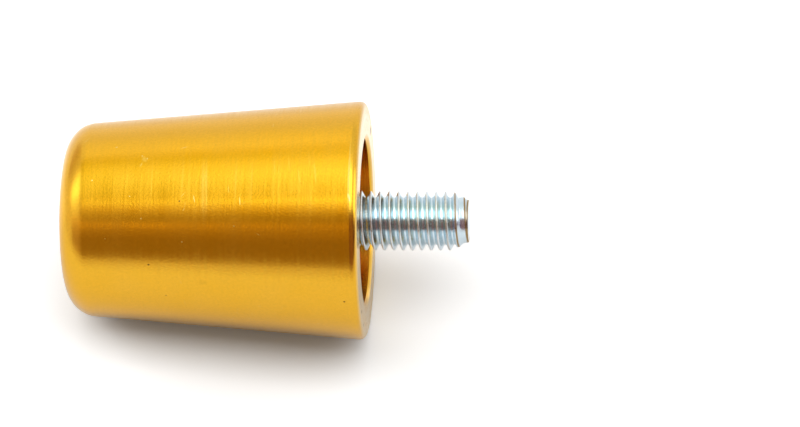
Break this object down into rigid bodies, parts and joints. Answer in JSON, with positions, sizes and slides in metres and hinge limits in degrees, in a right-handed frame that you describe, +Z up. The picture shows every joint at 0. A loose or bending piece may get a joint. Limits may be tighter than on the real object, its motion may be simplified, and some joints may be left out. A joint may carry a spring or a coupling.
{
  "type": "bar end weight",
  "caption": "Tapered handlebar end weight with a rounded nose and a recess for the bar, fixed by a socket-head screw that sits sunk in a counterbore.",
  "frame": {"origin": "centre of the large end's face, on the axis of the weight and its screw", "axes": "+X along the axis, out of the large end and towards the handlebar; +Z up; the weight lies to -X"},
  "size_m": [0.0537, 0.0318, 0.0318],
  "materials": {
    "gold_anodised_aluminium": "fine turned, gold anodised, bright",
    "zinc_plated_steel": "bright zinc plated"
  },
  "bodies": {
    "root": {"weight_body": "gold_anodised_aluminium", "fixing_screw": "zinc_plated_steel"}
  },
  "joints": []
}
